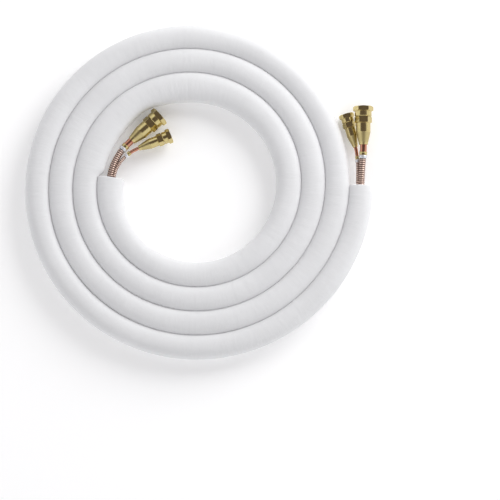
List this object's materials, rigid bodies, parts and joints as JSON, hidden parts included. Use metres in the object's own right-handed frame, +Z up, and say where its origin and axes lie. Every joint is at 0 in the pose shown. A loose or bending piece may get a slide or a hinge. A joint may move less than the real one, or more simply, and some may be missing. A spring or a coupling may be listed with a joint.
{
  "type": "mini split line set",
  "caption": "Coiled mini split line set: a thick and a thin copper line in one white foam sleeve, with brass quick-connect couplings at both ends.",
  "frame": {"origin": "on the floor under the middle of the whole coil's box", "axes": "+Z up out of the coil's plane, the outer couplings point along +Y at the +X side"},
  "size_m": [0.6292, 0.6066, 0.045],
  "materials": {
    "foam": "matt closed-cell foam under a thin white film",
    "copper": "bright drawn copper",
    "corrugated_copper": "dull pink copper, corrugated, smooth and red past the ferrule",
    "brass": "bright turned brass",
    "tin": "tinned, silver white"
  },
  "bodies": {
    "line_set": {"insulation_sleeve": "foam", "suction_line": "copper", "liquid_line": "copper", "suction_inner_tail": "corrugated_copper", "suction_inner_ferrule": "tin", "suction_inner_band": "brass", "suction_inner_coupling": "brass", "liquid_inner_tail": "corrugated_copper", "liquid_inner_ferrule": "tin", "liquid_inner_band": "brass", "liquid_inner_coupling": "brass", "suction_outer_tail": "corrugated_copper", "suction_outer_ferrule": "tin", "suction_outer_band": "brass", "suction_outer_coupling": "brass", "liquid_outer_tail": "corrugated_copper", "liquid_outer_ferrule": "tin", "liquid_outer_band": "brass", "liquid_outer_coupling": "brass"},
    "suction_inner_nut": {"suction_inner_union_nut": "brass"},
    "liquid_inner_nut": {"liquid_inner_union_nut": "brass"},
    "suction_outer_nut": {"suction_outer_union_nut": "brass"},
    "liquid_outer_nut": {"liquid_outer_union_nut": "brass"}
  },
  "joints": [
    {"name": "suction_inner_nut_spin", "type": "hinge", "parent": "line_set", "child": "suction_inner_nut", "pos_m": [-0.12297, 0.09335, 0.0225], "axis": [0.7492, 0.6624, 0], "continuous": true},
    {"name": "liquid_inner_nut_spin", "type": "hinge", "parent": "line_set", "child": "liquid_inner_nut", "pos_m": [-0.10996, 0.0794, 0.0225], "axis": [0.9273, 0.3743, 0], "continuous": true},
    {"name": "suction_outer_nut_spin", "type": "hinge", "parent": "line_set", "child": "suction_outer_nut", "pos_m": [0.29634, 0.08478, 0.029], "axis": [-0.0034, 1, 0], "continuous": true},
    {"name": "liquid_outer_nut_spin", "type": "hinge", "parent": "line_set", "child": "liquid_outer_nut", "pos_m": [0.28245, 0.08209, 0.016], "axis": [-0.2705, 0.9627, 0], "continuous": true}
  ]
}
